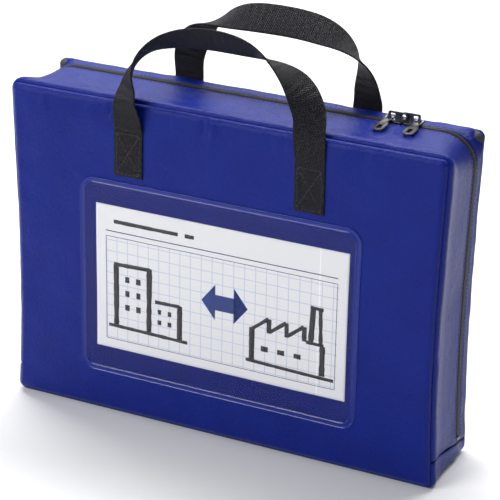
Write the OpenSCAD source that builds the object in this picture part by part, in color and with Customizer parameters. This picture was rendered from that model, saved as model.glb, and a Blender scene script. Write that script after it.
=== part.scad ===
// Box-shaped cash deposit bag in PVC tarpaulin, closed by a zip round three sides.
// Origin: centre of the bag's base on the surface it stands on. +Z up, front faces -Y, millimetres.

/* [Bag] */
// Width of the bag over its panels
bag_w = 370; // [300:1:440]
// Depth of the bag from the front panel's face to the back panel's face
bag_d = 76; // [66:1:100]
// Height of the bag without its handles
bag_h = 270; // [225:1:330]
// Radius of the two top corners
corner_r = 10; // [8:1:20]
// Thickness of the tarpaulin sheet
sheet_t = 1.2; // [0.8:0.1:1.6]
// How far the gussets lie inside the panels' edges
seam_step = 1.5; // [1:0.1:2.5]
// Height of the base gusset's turned-up ends at the front
wrap_front_h = 24; // [18:1:32]
// Height of the base gusset's turned-up ends at the back
wrap_back_h = 12; // [8:1:18]

/* [Stiffeners and lining] */
// Thickness of the core boards
board_t = 2; // [1:0.1:3]
// Distance from a panel's edge to the edge of its core board
board_margin = 5; // [4.5:0.1:10]
// Thickness of the lining cloth
lining_t = 0.4; // [0.2:0.1:0.8]
// Width of the binding sewn over the inner seams
binding_w = 5.5; // [4:0.1:6]
// Thickness of that binding
binding_t = 0.8; // [0.5:0.1:1.2]

/* [Zip] */
// Distance from the bag's middle plane back to the zip's centre line
zip_y = 18.5; // [10:0.5:19]
// Width of the slot between the two gussets that the zip shows in
zip_slot_w = 13; // [12:0.5:14]
// Width of one zip tape
tape_w = 11.5; // [9:0.5:12]
// Thickness of a zip tape
tape_t = 0.6; // [0.4:0.1:0.8]
// Width of one row of coil
coil_w = 2.8; // [2.4:0.1:3.2]
// Height of a coil row above its tape
coil_h = 2.2; // [1.8:0.1:2.4]
// Gap between the two rows of coil
coil_gap = 1; // [0.8:0.1:1.2]
// Height of the coil's lower ends above the base
zip_end_z = 22; // [20:1:40]
// Length of a zip tape below the end of its coil
tape_tail = 6; // [5:0.5:8]
// Height of the metal stops at the coil's lower ends
stop_h = 4.2; // [3:0.1:5]

/* [Sliders] */
// Where the two closed sliders meet, from the bag's middle
meet_x = 125; // [60:1:130]
// Length of a slider's body
slider_len = 13.5; // [13:0.1:16.5]
// Width of a slider's body
slider_w = 9.8; // [9:0.1:10.4]
// Thickness of a slider's top and bottom plates
plate_t = 1; // [0.8:0.1:1.2]
// Height of a slider's arch above its top plate
arch_h = 7; // [6.6:0.1:8.6]
// Thickness of a slider's arch and locking ear
arch_t = 1.2; // [1:0.1:1.4]
// Radius of the padlock hole through the two ears
lock_hole_r = 1.9; // [1.5:0.1:2.2]

/* [Pulls] */
// Length of a pull from its pivot to its tip
pull_len = 27; // [22:0.5:30]
// Width of a pull's grip
pull_w = 8.6; // [7:0.1:10]
// Thickness of a pull
pull_t = 1.3; // [1:0.1:1.5]
// Droop of a resting pull below level
pull_droop = 6; // [2:0.5:7]

/* [Address window] */
// Width of the window over its welded rim
window_w = 243; // [200:1:270]
// Height of the window over its welded rim
window_h = 167; // [140:1:180]
// Height of the window's lower edge above the base
window_z = 37; // [36:1:45]
// Outer radius of the window's corners
window_r = 13; // [9:0.5:20]
// Width of the welded rim
rim_w = 6; // [4:0.5:8]
// Thickness of the clear film
film_t = 0.4; // [0.3:0.1:0.6]
// Distance from the front panel's face to the outside of the clear film
film_proud = 1.4; // [1.3:0.1:1.6]
// Distance from the window's middle to the slit that the card goes in through
slit_x = 88; // [60:1:90]
// Width of the slit
slit_w = 0.6; // [0.4:0.1:1]

/* [Card] */
// Width of the address card
card_w = 218; // [150:1:218]
// Height of the address card
card_h = 122; // [80:1:124]
// Distance from the window's lower edge up to the card
card_lift = 24; // [8:1:24]
// Thickness of the address card
card_t = 0.4; // [0.2:0.1:0.5]
// Distance from the window's middle to the card's middle, towards the slit
card_x = 3; // [0:0.5:3]

/* [Handles] */
// Width of the handle webbing
strap_w = 25; // [20:1:30]
// Thickness of the handle webbing
strap_t = 1.6; // [1.2:0.1:2]
// Distance from a handle's middle to the middle of each of its legs
leg_x = 76.5; // [60:0.5:95]
// Distance from the bag's middle to the middle of the back handle
back_handle_x = 8; // [0:0.5:10]
// Length of webbing sewn to the panel at each leg
sewn_h = 37; // [30:1:45]
// Distance from the bag's top edge down to the top of the sewn part
sewn_drop = 24; // [20:1:30]
// Rise of a handle's middle above the bag's top edge
loop_rise = 57.5; // [50:0.5:80]
// Height above the bag's top edge at which the handle legs start to bend
straight_rise = 4; // [0:0.5:10]
// Side of the reinforcing patch behind a sewn strap end, beyond the strap
patch_margin = 5; // [3:0.5:8]

/* [Hidden] */
$fn = 64;
// Clearance between pieces that move past each other
gap = 0.3;
front_y = -bag_d / 2;
back_y = bag_d / 2;
inner_front_y = front_y + sheet_t;
inner_back_y = back_y - sheet_t;
// Depths below the panels' outline of the layers round the three zipped sides
gusset_in = seam_step + sheet_t;
tape_in = gusset_in + tape_t;
coil_out = gusset_in - coil_h;
// Edges of the zip's parts, as distances from its centre line
slot_half = zip_slot_w / 2;
row_near = coil_gap / 2;
row_far = row_near + coil_w;
tape_near = row_near + 0.1;
tape_far = tape_near + tape_w;
// Sliders: the face that each stands on and the space that the coils run in
coil_top_z = bag_h - coil_out;
slider_top_z = coil_top_z + gap + plate_t;
tape_under_z = bag_h - tape_in;
// The back tape drops this far as it leaves a slider when the front swings open
leave_drop = 1.3;
channel_h = slider_top_z - plate_t - (tape_under_z - leave_drop);
neck_t = 0.5;
neck_len = 3.4;
head_gap = 0.2;
neck_x = head_gap + 0.3;
neck_joint = 0.1;
shoulder_len = 5.6;
taper_end = 7.4;
head_bevel = 1.4;
tail_in = 0.9;
tail_bevel = 1.2;
ear_r = arch_h / 2 - gap / 2;
ear_z = arch_h - ear_r;
// Arch leg that a pull hangs on, and the slot beside it that the pull's arm turns in
leg_t = 2;
leg_mid_x = slider_len - 0.8 - leg_t / 2;
arch_bar_t = 1.6;
arm_slot_w = 3.7;
arch_y = head_gap + arch_t / 2;
// Pull: a round bar behind the leg, two arms beside it, then the grip
pull_bar_r = 0.8;
pull_arm_w = 1.6;
pull_window_w = 3.4;
pull_window_len = 5;
pull_bridge_len = 1.6;
pull_waist_half = 2.6;
grip_start = 13.5;
grip_shoulder_r = pull_w / 2 - 0.6;
eye_r = 1.7;
eye_len = 4.2;
pull_bar_y = arch_t / 2 + 0.25 + pull_bar_r;
pull_pivot_z = slider_top_z + 1.7;
// Window and card, in front of the front panel
rim_t = 1.6;
film_front_y = front_y - film_proud;
slit_r = 14;
card_z = window_z + card_lift;
card_front_y = front_y - gap - card_t;
// Handles
sewn_top_z = bag_h - sewn_drop;
loop_start_z = sewn_top_z + gap;
loop_top_z = bag_h + loop_rise;
bend_start_z = bag_h + straight_rise;
loop_front_lean = 5;
loop_back_lean = 2;
// How far the top of each handle stands off to the right
front_sway = -5;
back_sway = 2;
// Squareness of each handle's shoulders, where 2 is an ellipse
front_squareness = 2.2;
back_squareness = 2.6;
// How far the webbing has turned out of its leg's plane at the top of each handle; below 0 its inner
// edge comes forward
front_twist = -145;
back_twist = 140;
// How late that turn comes on the way up the [left, right] leg
front_turn_power = [0.85, 1.45];
back_turn_power = [2.25, 1.45];
arch_steps = 28;
patch_t = 1.2;
patch_h = sewn_h + 2 * patch_margin;
patch_w = strap_w + 2 * patch_margin;
tarpaulin = "#16267d";
webbing = "#1b1b22";
lining_cloth = "#20222c";
board_grey = "#8a8d92";
zip_black = "#131316";
clear_film = "#c9d6e8";

// Outline of a panel seen from the front, drawn smaller by inset on its top and sides
module panel_outline(inset) {
    half = bag_w / 2 - inset;
    top = bag_h - inset;
    r = corner_r - inset;
    translate([-half, 0]) square([2 * half, top - r]);
    translate([r - half, 0]) square([2 * (half - r), top]);
    for (side = [-1, 1]) translate([side * (half - r), top - r]) circle(r);
}

// A front view shape given depth from y0 back to y1
module between(y0, y1) {
    translate([0, y1, 0]) rotate([90, 0, 0]) linear_extrude(y1 - y0) children();
}

// Strip that runs up one side, over the top and down the other side, between two depths of inset
module three_side_strip(outer, inner, y0, y1, bottom_z) {
    between(y0, y1) difference() {
        panel_outline(outer);
        panel_outline(inner);
        translate([-bag_w, -1]) square([2 * bag_w, bottom_z + 1]);
    }
}

// Height of the upper edge of the base gusset's turned-up ends, which falls from front to back
function wrap_edge_z(y) = wrap_front_h
    - (wrap_front_h - wrap_back_h) * (y - inner_front_y) / (inner_back_y - inner_front_y);

// Side view of a turned-up end from y0 back to y1, with its upper edge raised by extra
module wrap_side_outline(y0, y1, low, extra) {
    polygon([[y0, low], [y1, low], [y1, wrap_edge_z(y1) + extra], [y0, wrap_edge_z(y0) + extra]]);
}

// The space of the turned-up ends and all below it, used to cut other strips off just above them
module wrap_space(extra) {
    translate([-bag_w / 2, 0, 0]) rotate([90, 0, 90]) linear_extrude(bag_w)
        wrap_side_outline(front_y - 1, back_y + 1, -1, extra);
}

module flat_panel(y0, y1) {
    between(y0, y1) panel_outline(0);
}

// Board or lining behind a panel, with its lower edge above the base's layers
module inner_sheet(y0, y1) {
    between(y0, y1) difference() {
        panel_outline(board_margin);
        translate([-bag_w, -1]) square([2 * bag_w, board_margin + 1]);
    }
}

// Both strap ends of the handle with its middle at middle_x, or whatever stands in their places
module at_strap_ends(middle_x = 0) {
    for (side = [-1, 1]) translate([middle_x + side * leg_x, 0, sewn_top_z - sewn_h / 2]) children();
}

module block(x, y0, y1, z) {
    translate([-x / 2, y0, -z / 2]) cube([x, y1 - y0, z]);
}

// ---- Back half and base ----

module back_panel() {
    color(tarpaulin) flat_panel(inner_back_y, back_y);
}

module back_core_board() {
    color(board_grey) difference() {
        inner_sheet(inner_back_y - board_t, inner_back_y);
        at_strap_ends(back_handle_x)
            block(patch_w + 1, inner_back_y - board_t - 1, inner_back_y + 1, patch_h + 1);
    }
}

module back_lining() {
    color(lining_cloth) inner_sheet(inner_back_y - board_t - lining_t, inner_back_y - board_t);
}

module bottom_gusset() {
    half = bag_w / 2 - seam_step;
    color(tarpaulin) {
        translate([-half, inner_front_y + gap, 0])
            cube([2 * half, inner_back_y - inner_front_y - gap, sheet_t]);
        for (x = [-half, half - sheet_t])
            translate([x, 0, 0]) rotate([90, 0, 90]) linear_extrude(sheet_t)
                wrap_side_outline(inner_front_y + gap, inner_back_y, 0, 0);
    }
}

module base_layer(z0, thickness) {
    half = bag_w / 2 - board_margin;
    depth = bag_d / 2 - sheet_t - binding_w - 0.5;
    translate([-half, -depth, z0]) cube([2 * half, 2 * depth, thickness]);
}

module base_core_board() {
    color(board_grey) base_layer(sheet_t, board_t);
}

module base_lining() {
    color(lining_cloth) base_layer(sheet_t + board_t, lining_t);
}

module base_seam_bindings() {
    half = bag_w / 2 - board_margin;
    color(webbing) for (y = [inner_front_y + gap, inner_back_y - binding_w])
        translate([-half, y, sheet_t]) cube([2 * half, binding_w - gap, binding_t]);
}

module back_gusset() {
    color(tarpaulin) difference() {
        three_side_strip(seam_step, gusset_in, zip_y + slot_half, inner_back_y, 0);
        wrap_space(0);
    }
}

module back_seam_binding() {
    color(webbing) difference() {
        three_side_strip(gusset_in, gusset_in + binding_t, inner_back_y - binding_w, inner_back_y, 0);
        wrap_space(0);
    }
}

module zip_tape_back() {
    far = min(tape_far, inner_back_y - binding_w - 0.1 - zip_y);
    color(zip_black) three_side_strip(gusset_in, tape_in, zip_y + tape_near, zip_y + far, zip_end_z - tape_tail);
}

module zip_coil_back() {
    color(zip_black) three_side_strip(coil_out, gusset_in, zip_y + row_near, zip_y + row_far, zip_end_z);
}

module zip_end_stops() {
    color("#2a2a2e") difference() {
        three_side_strip(coil_out, gusset_in, zip_y - row_far, zip_y + row_far, zip_end_z - gap - stop_h);
        translate([-bag_w / 2, -bag_d, zip_end_z - gap]) cube([bag_w, 2 * bag_d, bag_h]);
    }
}

module back_handle_ends() {
    color(webbing) at_strap_ends(back_handle_x) block(strap_w, back_y, back_y + strap_t, sewn_h);
}

module back_handle_patches() {
    color(webbing) at_strap_ends(back_handle_x) block(patch_w, inner_back_y - patch_t, inner_back_y, patch_h);
}

// ---- Front half, which swings open ----

module front_panel() {
    color(tarpaulin) flat_panel(front_y, inner_front_y);
}

module front_core_board() {
    color(board_grey) difference() {
        inner_sheet(inner_front_y, inner_front_y + board_t);
        at_strap_ends() block(patch_w + 1, inner_front_y - 1, inner_front_y + board_t + 1, patch_h + 1);
    }
}

module front_lining() {
    color(lining_cloth) inner_sheet(inner_front_y + board_t, inner_front_y + board_t + lining_t);
}

module front_gusset() {
    color(tarpaulin) difference() {
        three_side_strip(seam_step, gusset_in, inner_front_y, zip_y - slot_half, 0);
        wrap_space(gap);
    }
}

module front_seam_binding() {
    color(webbing) three_side_strip(
        gusset_in, gusset_in + binding_t, inner_front_y, inner_front_y + binding_w, wrap_front_h + gap);
}

module zip_tape_front() {
    color(zip_black) three_side_strip(
        gusset_in, tape_in, zip_y - tape_far, zip_y - tape_near, zip_end_z + gap);
}

module zip_coil_front() {
    color(zip_black) three_side_strip(
        coil_out, gusset_in, zip_y - row_far, zip_y - row_near, zip_end_z + gap);
}

// Rectangle with round corners, standing on the window's lower edge and made smaller by inset
module window_outline(inset) {
    r = window_r - inset;
    half = window_w / 2 - inset;
    low = window_z + inset;
    high = window_z + window_h - inset;
    translate([-half, low + r]) square([2 * half, high - low - 2 * r]);
    translate([r - half, low]) square([2 * (half - r), high - low]);
    for (x = [r - half, half - r], z = [low + r, high - r]) translate([x, z]) circle(r);
}

// Everything left of the card slit, whose ends curve in towards the card, moved right by extra
module left_of_slit(extra) {
    low = window_z + rim_w;
    high = window_z + window_h - rim_w;
    right = slit_x + extra;
    translate([-window_w, low]) square([window_w + right - slit_r, high - low]);
    translate([0, low + slit_r]) square([right, high - low - 2 * slit_r]);
    for (z = [low + slit_r, high - slit_r]) translate([right - slit_r, z]) circle(slit_r);
}

module window_rim() {
    color(tarpaulin) between(front_y - rim_t, front_y) difference() {
        window_outline(0);
        window_outline(rim_w);
    }
}

module window_film() {
    color(clear_film, 0.4) between(film_front_y, film_front_y + film_t) intersection() {
        window_outline(rim_w);
        left_of_slit(0);
    }
}

module window_end_film() {
    color(clear_film, 0.4) between(film_front_y, film_front_y + film_t) difference() {
        window_outline(rim_w);
        left_of_slit(slit_w);
    }
}

module front_handle_ends() {
    color(webbing) at_strap_ends() block(strap_w, front_y - strap_t, front_y, sewn_h);
}

module front_handle_patches() {
    color(webbing) at_strap_ends() block(patch_w, inner_front_y, inner_front_y + patch_t, patch_h);
}

module address_card() {
    color("white") translate([card_x - card_w / 2, card_front_y, card_z]) cube([card_w, card_t, card_h]);
}

// ---- Handles ----

function smooth(value) = value * value * (3 - 2 * value);

// 0 to 1 between the sewn ends and a handle's top
function loop_share(z) = (z - loop_start_z) / (loop_top_z - loop_start_z);

// Point of an arch at turn 0 (left foot) to 180 (right foot), which leans by lean along Y at its top
// and by sway along X on its way up
function arch_part(value, squareness) = sign(value) * pow(abs(value), 2 / squareness);
function arch_point(turn, middle_x, strap_y, lean, sway, squareness) =
    let (z = bend_start_z + (loop_top_z - bend_start_z) * arch_part(sin(turn), squareness))
    [middle_x - leg_x * arch_part(cos(turn), squareness) + sway * smooth(loop_share(z)),
        strap_y + lean * smooth(sin(turn)), z];

// Middle line of a handle that stands flat on the panel at strap_y
function loop_path(middle_x, strap_y, lean, sway, squareness) = let (
    leg_mid_z = (loop_start_z + bend_start_z) / 2
) concat(
    [[middle_x - leg_x, strap_y, loop_start_z], [middle_x - leg_x, strap_y, leg_mid_z]],
    [for (i = [0 : arch_steps])
        arch_point(180 * i / arch_steps, middle_x, strap_y, lean, sway, squareness)],
    [[middle_x + leg_x, strap_y, leg_mid_z], [middle_x + leg_x, strap_y, loop_start_z]]
);

// Webbing swept along path: across is its width direction, which turns out of the arch's plane by twist
module webbing_loop(path, twist, turn_power) {
    last = len(path) - 1;
    corners = [[-1, -1], [1, -1], [1, 1], [-1, 1]];
    points = [for (i = [0 : last]) let (
        step = path[min(i + 1, last)] - path[max(i - 1, 0)],
        run = step / norm(step),
        height = max(0, (path[i][2] - bend_start_z) / (loop_top_z - bend_start_z)),
        angle = twist * pow(height, turn_power[i < last / 2 ? 0 : 1]),
        in_plane = [run[2], 0, -run[0]],
        flat = in_plane / norm(in_plane),
        across = flat * cos(angle) + [0, 1, 0] * sin(angle),
        face = cross(run, across)
    ) for (c = corners) path[i] + across * (c[0] * strap_w / 2) + face * (c[1] * strap_t / 2)];
    sides = [for (i = [0 : last - 1], k = [0 : 3]) let (
        a = 4 * i + k,
        b = 4 * i + (k + 1) % 4
    ) each [[a, a + 4, b], [b, a + 4, b + 4]]];
    caps = [[0, 1, 2], [0, 2, 3], [4 * last + 2, 4 * last + 1, 4 * last],
        [4 * last + 3, 4 * last + 2, 4 * last]];
    polyhedron(points, concat(sides, caps));
}

module front_handle() {
    color(webbing) webbing_loop(
        loop_path(0, front_y - gap - strap_t / 2, loop_front_lean, front_sway, front_squareness),
        front_twist, front_turn_power);
}

module back_handle() {
    color(webbing) webbing_loop(
        loop_path(back_handle_x, back_y + gap + strap_t / 2, -loop_back_lean, back_sway, back_squareness),
        back_twist, back_turn_power);
}

// ---- Sliders and pulls ----

// Top view of a slider plate: broad shoulders at the head (x = 0), narrower towards the tail
module slider_outline() {
    half = slider_w / 2;
    edge = [[head_gap, half - head_bevel], [head_gap + head_bevel, half], [shoulder_len, half],
        [taper_end, half - tail_in], [slider_len - tail_bevel, half - tail_in],
        [slider_len, half - tail_in - tail_bevel]];
    mirrored = [for (i = [len(edge) - 1 : -1 : 0]) [edge[i][0], -edge[i][1]]];
    polygon(concat(edge, mirrored));
}

// Side view of the arch and ear above the top plate
module arch_outline() {
    leg_out = leg_mid_x + leg_t / 2;
    leg_in = leg_mid_x - leg_t / 2;
    difference() {
        union() {
            translate([head_gap, -plate_t / 2]) square([leg_out - head_gap, arch_h + plate_t / 2 - arch_bar_t]);
            translate([0, arch_h - arch_bar_t - 1]) square([leg_out - arch_bar_t, arch_bar_t + 1]);
            translate([leg_out - arch_bar_t, arch_h - arch_bar_t]) circle(arch_bar_t);
            translate([0, ear_z]) circle(ear_r);
        }
        translate([leg_in - arm_slot_w, 0]) square([arm_slot_w, arch_h - arch_bar_t]);
        translate([0, ear_z]) circle(lock_hole_r);
    }
}

// One slider with its head at x = 0 and the middle of its top face at z = 0
module slider() {
    translate([0, 0, -plate_t]) linear_extrude(plate_t) slider_outline();
    translate([0, 0, -2 * plate_t - channel_h]) linear_extrude(plate_t) slider_outline();
    translate([neck_x, -neck_t / 2, -plate_t - channel_h - neck_joint])
        cube([neck_len, neck_t, channel_h + 2 * neck_joint]);
    between(head_gap, head_gap + arch_t) arch_outline();
}

module slider_right() {
    color(zip_black) translate([meet_x, zip_y, slider_top_z]) slider();
}

module slider_left() {
    color(zip_black) translate([meet_x, zip_y, slider_top_z]) rotate([0, 0, 180]) slider();
}

// Top view of a pull that points to -Y, without its round pivot bar
module pull_outline() {
    arm_out = pull_window_w / 2 + pull_arm_w;
    grip_r = pull_w / 2;
    arms_end = -pull_window_len - pull_bar_r;
    bridge_end = arms_end - pull_bridge_len;
    eye_y = grip_r - pull_len;
    difference() {
        union() {
            translate([-arm_out, bridge_end]) square([2 * arm_out, -bridge_end]);
            translate([-pull_waist_half, -grip_start]) square([2 * pull_waist_half, grip_start + arms_end]);
            translate([0, -grip_start]) circle(grip_shoulder_r);
            translate([-grip_r, eye_y]) square([pull_w, -grip_start - eye_y]);
            translate([0, eye_y]) circle(grip_r);
        }
        translate([-pull_window_w / 2, arms_end]) square([pull_window_w, 2 * -arms_end]);
        translate([-eye_r, eye_y]) square([2 * eye_r, eye_len]);
        for (y = [eye_y, eye_y + eye_len]) translate([0, y]) circle(eye_r);
    }
}

module pull() {
    bar_len = pull_window_w + 2 * pull_arm_w;
    rotate([pull_droop, 0, 0]) {
        translate([0, 0, -pull_t / 2]) linear_extrude(pull_t) pull_outline();
        translate([-bar_len / 2, 0, 0]) rotate([0, 90, 0]) cylinder(h = bar_len, r = pull_bar_r);
    }
}

module pull_right() {
    color(zip_black)
        translate([meet_x + leg_mid_x, zip_y + arch_y + pull_bar_y, pull_pivot_z]) pull();
}

module pull_left() {
    color(zip_black)
        translate([meet_x - leg_mid_x, zip_y - arch_y + pull_bar_y, pull_pivot_z]) pull();
}

back_panel();
back_core_board();
back_lining();
bottom_gusset();
base_core_board();
base_lining();
base_seam_bindings();
back_gusset();
back_seam_binding();
zip_tape_back();
zip_coil_back();
zip_end_stops();
back_handle_ends();
back_handle_patches();
front_panel();
front_core_board();
front_lining();
front_gusset();
front_seam_binding();
zip_tape_front();
zip_coil_front();
window_rim();
window_film();
window_end_film();
front_handle_ends();
front_handle_patches();
address_card();
front_handle();
back_handle();
slider_left();
slider_right();
pull_left();
pull_right();
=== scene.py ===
import math

import bmesh
import bpy
import numpy as np
from mathutils import Matrix, Vector, noise
from mathutils.bvhtree import BVHTree


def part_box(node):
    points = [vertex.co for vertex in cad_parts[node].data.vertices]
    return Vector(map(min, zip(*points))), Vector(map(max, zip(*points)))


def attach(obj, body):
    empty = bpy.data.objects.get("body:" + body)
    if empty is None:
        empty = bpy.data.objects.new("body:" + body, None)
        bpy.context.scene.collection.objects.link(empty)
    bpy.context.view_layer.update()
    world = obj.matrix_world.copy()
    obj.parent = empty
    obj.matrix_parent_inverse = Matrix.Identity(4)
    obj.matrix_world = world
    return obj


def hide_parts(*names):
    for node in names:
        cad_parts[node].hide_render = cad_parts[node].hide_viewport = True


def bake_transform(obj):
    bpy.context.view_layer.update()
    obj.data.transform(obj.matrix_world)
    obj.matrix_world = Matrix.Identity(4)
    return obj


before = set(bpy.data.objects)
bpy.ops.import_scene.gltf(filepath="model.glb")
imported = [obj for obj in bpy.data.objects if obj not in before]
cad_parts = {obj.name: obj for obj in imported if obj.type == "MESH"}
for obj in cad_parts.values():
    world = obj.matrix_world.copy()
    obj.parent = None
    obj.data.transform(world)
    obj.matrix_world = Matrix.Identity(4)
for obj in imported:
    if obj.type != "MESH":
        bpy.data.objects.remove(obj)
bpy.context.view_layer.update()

# ---------------------------------------------------------------------------------------------
# Camera, floor and studio light.
# A long lens a little above and to the right of the bag and a pale floor that runs on past the
# view. Soft lamps overhead, low behind the bag and at the front left give its glossy edges light.
# ---------------------------------------------------------------------------------------------

MM = 0.001
azimuth = math.radians(25.97)
elevation = math.radians(22.68)
roll = math.radians(1.16)
aim = Vector((8.46, 0, 150.18)) * MM
camera_distance = 1665 * MM
lens_length = 153.57
toward = Vector((math.sin(azimuth) * math.cos(elevation), -math.cos(azimuth) * math.cos(elevation),
                 math.sin(elevation)))
camera_data = bpy.data.cameras.new("camera")
camera_data.lens = lens_length
camera_data.sensor_width = 36
camera_data.clip_end = 30
camera = bpy.data.objects.new("camera", camera_data)
bpy.context.scene.collection.objects.link(camera)
camera.rotation_mode = "QUATERNION"
camera.location = aim + toward * camera_distance
upright = (-toward).to_track_quat("-Z", "Y")
camera.rotation_quaternion = upright @ Matrix.Rotation(roll, 3, "Z").to_quaternion()
bpy.context.scene.camera = camera
bpy.context.scene.view_settings.view_transform = "Standard"


def plain_material(name, colour, roughness, metallic=0.0):
    """A new node material with its shader's own sockets set, its shader and its node tree."""
    made = bpy.data.materials.new(name)
    made.use_nodes = True
    shader = made.node_tree.nodes["Principled BSDF"]
    shader.inputs["Base Color"].default_value = (*colour, 1)
    shader.inputs["Roughness"].default_value = roughness
    shader.inputs["Metallic"].default_value = metallic
    return made, shader, made.node_tree


def soft_lamp(name, place, target, width, height, watts):
    """A rectangular soft box at place that faces target."""
    lamp_data = bpy.data.lights.new(name, "AREA")
    lamp_data.shape = "RECTANGLE"
    lamp_data.size = width
    lamp_data.size_y = height
    lamp_data.energy = watts
    lamp = bpy.data.objects.new(name, lamp_data)
    bpy.context.scene.collection.objects.link(lamp)
    lamp.location = place
    lamp.rotation_mode = "QUATERNION"
    lamp.rotation_quaternion = (Vector(target) - Vector(place)).to_track_quat("-Z", "Y")


bpy.ops.object.select_all(action="DESELECT")
bpy.ops.mesh.primitive_plane_add(size=24)
floor = bpy.context.object
floor.name = "studio_floor"
floor.data.materials.append(plain_material("pale_floor", (0.8, 0.8, 0.81), 0.9)[0])

world = bpy.data.worlds.new("studio")
bpy.context.scene.world = world
world.use_nodes = True
world.node_tree.nodes["Background"].inputs["Color"].default_value = (1, 1, 1, 1)
world.node_tree.nodes["Background"].inputs["Strength"].default_value = 0.3
bag_middle, lower_middle = (0, 0, 0.2), (0, 0, 0.15)
soft_lamp("overhead_lamp", (-0.25, 0.75, 1.9), bag_middle, width=2.6, height=0.4, watts=68)
soft_lamp("back_lamp", (-1.0, 2.1, 1.15), bag_middle, width=2.4, height=0.5, watts=13)
soft_lamp("front_left_lamp", (-1.0, -1.75, 1.3), lower_middle, width=1.3, height=0.35, watts=34)

# ---------------------------------------------------------------------------------------------
# Front and back panels: one sheet of PVC-coated cloth each, over a foamed core board.
# They are sewn to the gussets inside out, so each edge rolls in to a crease with its seam
# allowance inside. The thread pulls short gathers below the top seam. Distances are in mm.
# ---------------------------------------------------------------------------------------------

panel_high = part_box("front_panel")[1]
HALF_W = panel_high.x / MM
BAG_H = panel_high.z / MM
FRONT_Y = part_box("front_panel")[0].y / MM
BACK_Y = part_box("back_panel")[1].y / MM
ZIP_Y = (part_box("zip_coil_front")[1].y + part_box("zip_coil_back")[0].y) / 2 / MM

FACE_OUT = 2.0
FRONT_FACE = FRONT_Y - FACE_OUT
BACK_FACE = BACK_Y + FACE_OUT
PANEL_HALF = HALF_W + FACE_OUT
PANEL_TOP = BAG_H + FACE_OUT
SEAM_TURN = math.radians(103)
SEAM_R_FACE = 8.2
SEAM_R_CREASE = 1.4
ALLOWANCE = 5.0
ALLOWANCE_SLOPE = 0.7
TOP_CORNER_R = 10
BASE_CORNER_R = 8
ZIP_CORNER_R = 27
PANEL_PUFF = 1.5
FRONT_SEED = -3
BACK_SEED = 17
SIDE_DRAW = 4.0
PANEL_T = 0.9
PANEL_STEP = 2.6
EDGE_STEP = 0.8
FRONT_PUCKERS = ((-89, 3.0), (-40, 0.6), (-9, 3.4), (52, -0.9), (122, 1.0), (-150, -0.9))
BACK_PUCKERS = ((-120, 1.3), (30, -1.3), (96, 1.0))


def rolled_edge():
    """Way across a rolled edge from its flat face: (cloth used, sideways, inwards), to the crease."""
    steps = 40
    used = sideways = inwards = 0.0
    way = [(0.0, 0.0, 0.0)]
    for i in range(steps):
        share = (i + 0.5) / steps
        step = (SEAM_R_FACE + (SEAM_R_CREASE - SEAM_R_FACE) * share ** 0.7) * SEAM_TURN / steps
        used += step
        sideways += step * math.cos(share * SEAM_TURN)
        inwards += step * math.sin(share * SEAM_TURN)
        way.append((used, sideways, inwards))
    return way


ROLL = rolled_edge()
ROLL_USED, ROLL_SIDE, ROLL_IN = (np.array([row[k] for row in ROLL]) for k in range(3))
CREASE_IN = ROLL_IN[-1]
REACH = CREASE_IN + ROLL_SIDE[-1]


def smooth(value):
    value = min(1.0, max(0.0, value))
    return value * value * (3 - 2 * value)


def wobble(x, y, z, size, depth):
    """Soft uneven waves of that size and depth."""
    return depth * noise.noise(Vector((x / size, y / size, z / size)))


def seam_roll(distance):
    """(depth behind the face, distance from the edge) across a seam; below 0 is its allowance."""
    if distance >= REACH:
        return 0.0, distance
    if distance < 0:
        return CREASE_IN - ALLOWANCE_SLOPE * distance, CREASE_IN - ALLOWANCE_SLOPE * distance
    used = (1 - distance / REACH) * ROLL_USED[-1]
    return float(np.interp(used, ROLL_USED, ROLL_IN)), REACH - float(np.interp(used, ROLL_USED, ROLL_SIDE))


def drawn_in(x, z):
    """x after the sides have drawn in between the top and the base."""
    height = min(1.0, max(0.0, z / BAG_H))
    return x - SIDE_DRAW * math.sin(math.pi * height ** 0.8) * (x / HALF_W) ** 3


window_low, window_high = (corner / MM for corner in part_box("window_rim"))


def panel_swell(x, z, seed):
    """How far a panel stands out of its flat plane, calmer under the window."""
    u, v = abs(x / HALF_W), abs(2 * z / BAG_H - 1)
    calm = 1.0
    gap = min(x - window_low.x, window_high.x - x, z - window_low.z, window_high.z - z)
    if seed == FRONT_SEED and gap > -8:
        calm = 1 - 0.75 * smooth((gap + 8) / 12)
    waves = wobble(x, seed, z, 62, 1.5) + wobble(x, seed + 5, z, 24, 0.5)
    return PANEL_PUFF * (1 - u ** 5) * (1 - v ** 5) + calm * waves


def front_face(x, z):
    """y of the front panel's outer face, away from its seams."""
    return FRONT_FACE - panel_swell(x, z, FRONT_SEED)


def back_face(x, z):
    return BACK_FACE + panel_swell(x, z, BACK_SEED)


def pucker(x, below, places):
    """Short gathers that run down a panel from its top seam."""
    total = 0.0
    for place, size in places:
        across = (x - place) / 3.2
        down = (below - 13) / 8
        total += size * across * math.exp(-across * across / 2 - down * down)
    return total


def round_corner(x, z):
    """Moves a point of a square grid so that the grid's corners become round."""
    half, top = PANEL_HALF, PANEL_TOP
    upper = z > top / 2
    r = TOP_CORNER_R if upper else BASE_CORNER_R
    rise = z if upper else top - z
    p = (abs(x) - (half - r)) / r
    q = (rise - (top - r)) / r
    if p <= 0 or q <= 0:
        return x, z
    reach = max(p, q)
    angle = math.pi / 4 * (q / p if p >= q else 2 - p / q)
    x = math.copysign(half - r + r * reach * math.cos(angle), x)
    rise = top - r + r * reach * math.sin(angle)
    return x, (rise if upper else top - rise)


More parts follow.
